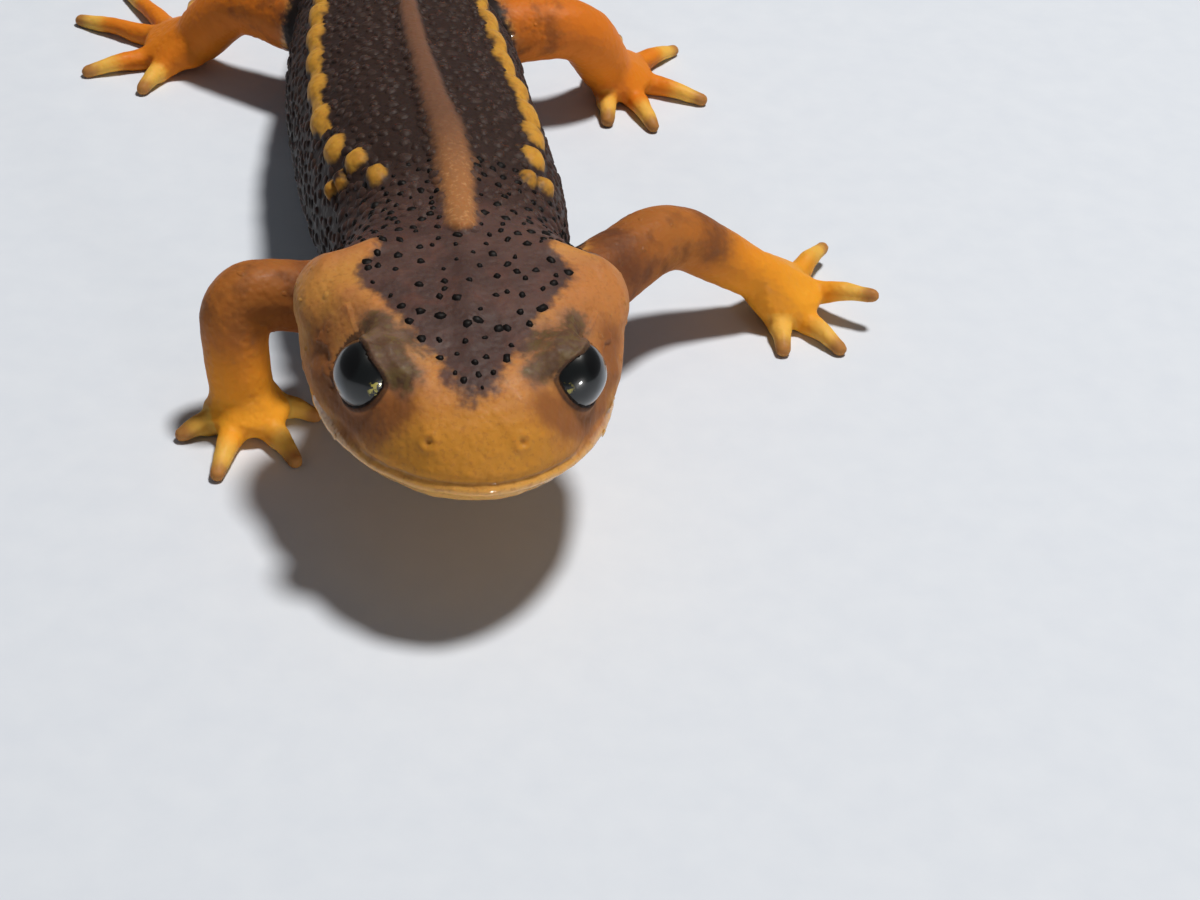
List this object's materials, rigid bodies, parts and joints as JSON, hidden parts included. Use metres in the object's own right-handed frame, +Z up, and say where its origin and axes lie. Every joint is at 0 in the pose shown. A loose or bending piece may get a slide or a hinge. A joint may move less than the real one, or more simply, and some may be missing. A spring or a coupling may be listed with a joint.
{
  "type": "crocodile newt (salamander)",
  "caption": "Life-size still model of a young crocodile newt, head raised: broad flat head, ridged back with rows of knobs, splayed legs and a side-flattened tail laid on the floor.",
  "frame": {"origin": "middle of the underside of the bounding box, on the floor the newt stands on", "axes": "+Y runs from snout to tail, +X is the newt's own left, +Z is up"},
  "size_m": [0.0356, 0.082, 0.0103],
  "materials": {
    "skin_head": "moist satin skin, dull orange",
    "skin_back": "granular brown-black skin, slightly moist",
    "skin_limb": "moist satin skin, orange",
    "eye": "polished, near black"
  },
  "bodies": {
    "root": {"eye_left": "eye", "eye_right": "eye", "foot_left": "skin_limb", "foot_right": "skin_limb", "forearm_left": "skin_limb", "forearm_right": "skin_limb", "hand_left": "skin_limb", "hand_right": "skin_limb", "head": "skin_head", "lower_jaw": "skin_head", "neck": "skin_back", "shank_left": "skin_limb", "shank_right": "skin_limb", "tail_base": "skin_limb", "tail_middle": "skin_limb", "tail_tip": "skin_limb", "thigh_left": "skin_limb", "thigh_right": "skin_limb", "trunk": "skin_back", "upper_arm_left": "skin_limb", "upper_arm_right": "skin_limb"}
  },
  "joints": []
}
